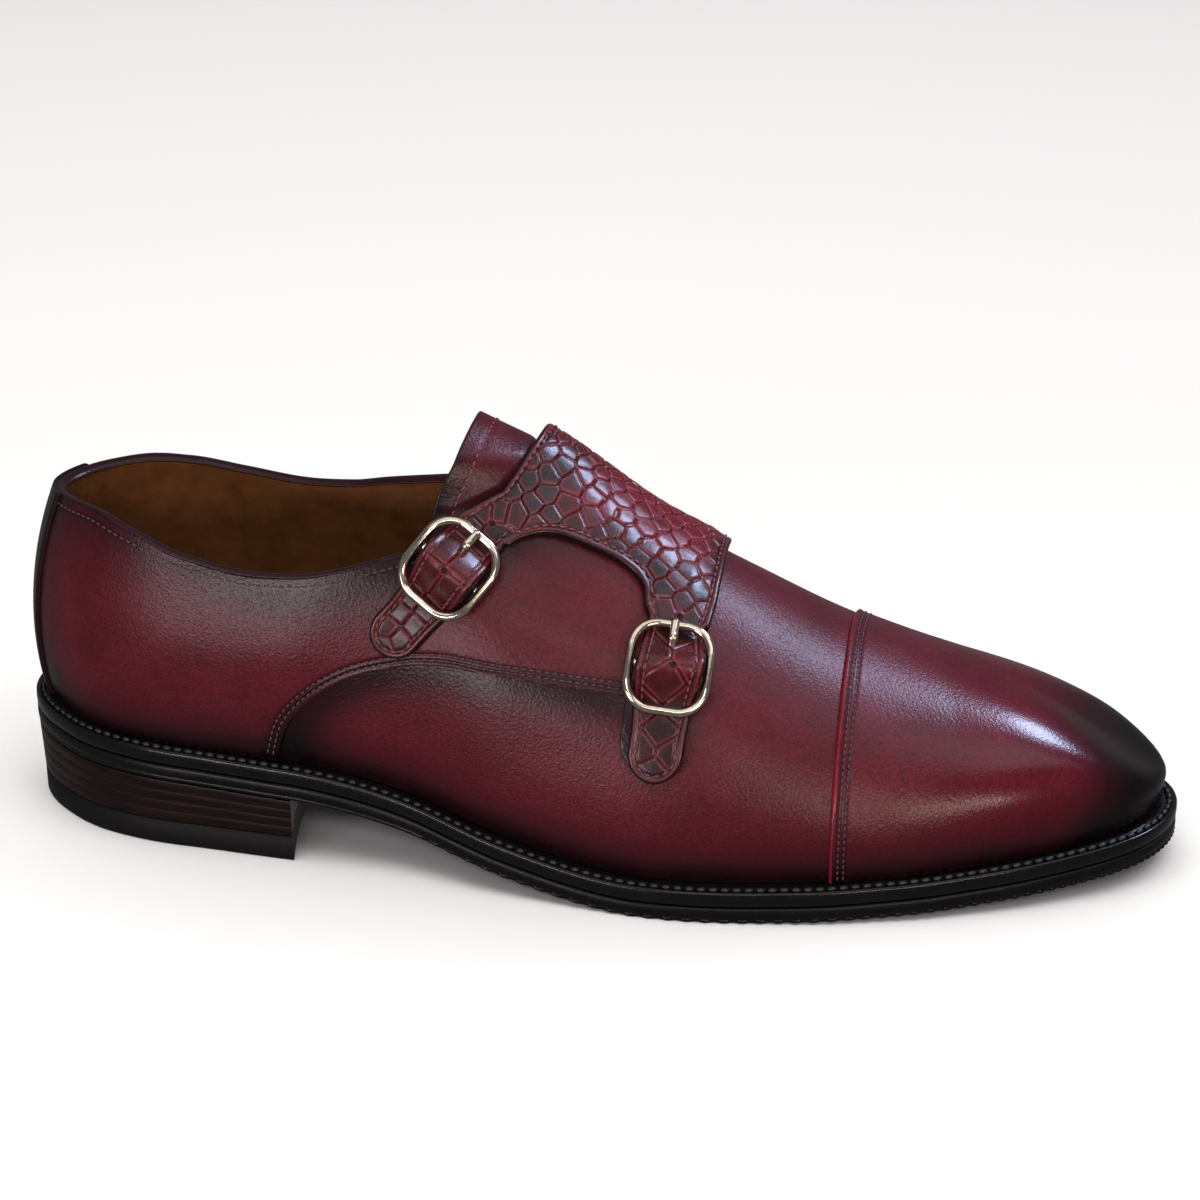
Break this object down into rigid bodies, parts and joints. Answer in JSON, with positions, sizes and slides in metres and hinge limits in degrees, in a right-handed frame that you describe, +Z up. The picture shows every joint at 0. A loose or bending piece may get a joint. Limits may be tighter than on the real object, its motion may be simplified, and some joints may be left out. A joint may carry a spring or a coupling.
{
  "type": "monk strap shoe",
  "caption": "Right-foot double monk strap dress shoe with a plain cap toe, a scaly flap over the instep and a stacked heel.",
  "frame": {"origin": "middle of the heel's resting face, on the floor", "axes": "+X to the toe, +Y to the inner (medial) side of this right shoe, +Z up"},
  "size_m": [0.298, 0.0978, 0.1101],
  "materials": {
    "calf": "burnished burgundy box calf",
    "dark_calf": "almost black burnished calf",
    "scaly_leather": "glossy reptile-embossed calf",
    "lining": "matte tan lining leather",
    "welt": "black polished edge",
    "sole_edge": "black polished edge",
    "heel_stack": "dark stacked leather",
    "top_lift": "matte black rubber",
    "buckle_metal": "polished pale nickel"
  },
  "bodies": {
    "root": {"heel_top_lift": "top_lift", "heel_stack": "heel_stack", "outsole": "sole_edge", "welt": "welt", "insole": "lining", "upper": "calf", "quarter_lateral": "calf", "quarter_medial": "calf", "back_strip": "dark_calf", "tongue": "calf", "monk_flap": "scaly_leather", "front_tab": "calf", "rear_buckle_frame": "buckle_metal", "front_buckle_frame": "buckle_metal", "rear_buckle_prong": "buckle_metal", "front_buckle_prong": "buckle_metal"}
  },
  "joints": []
}
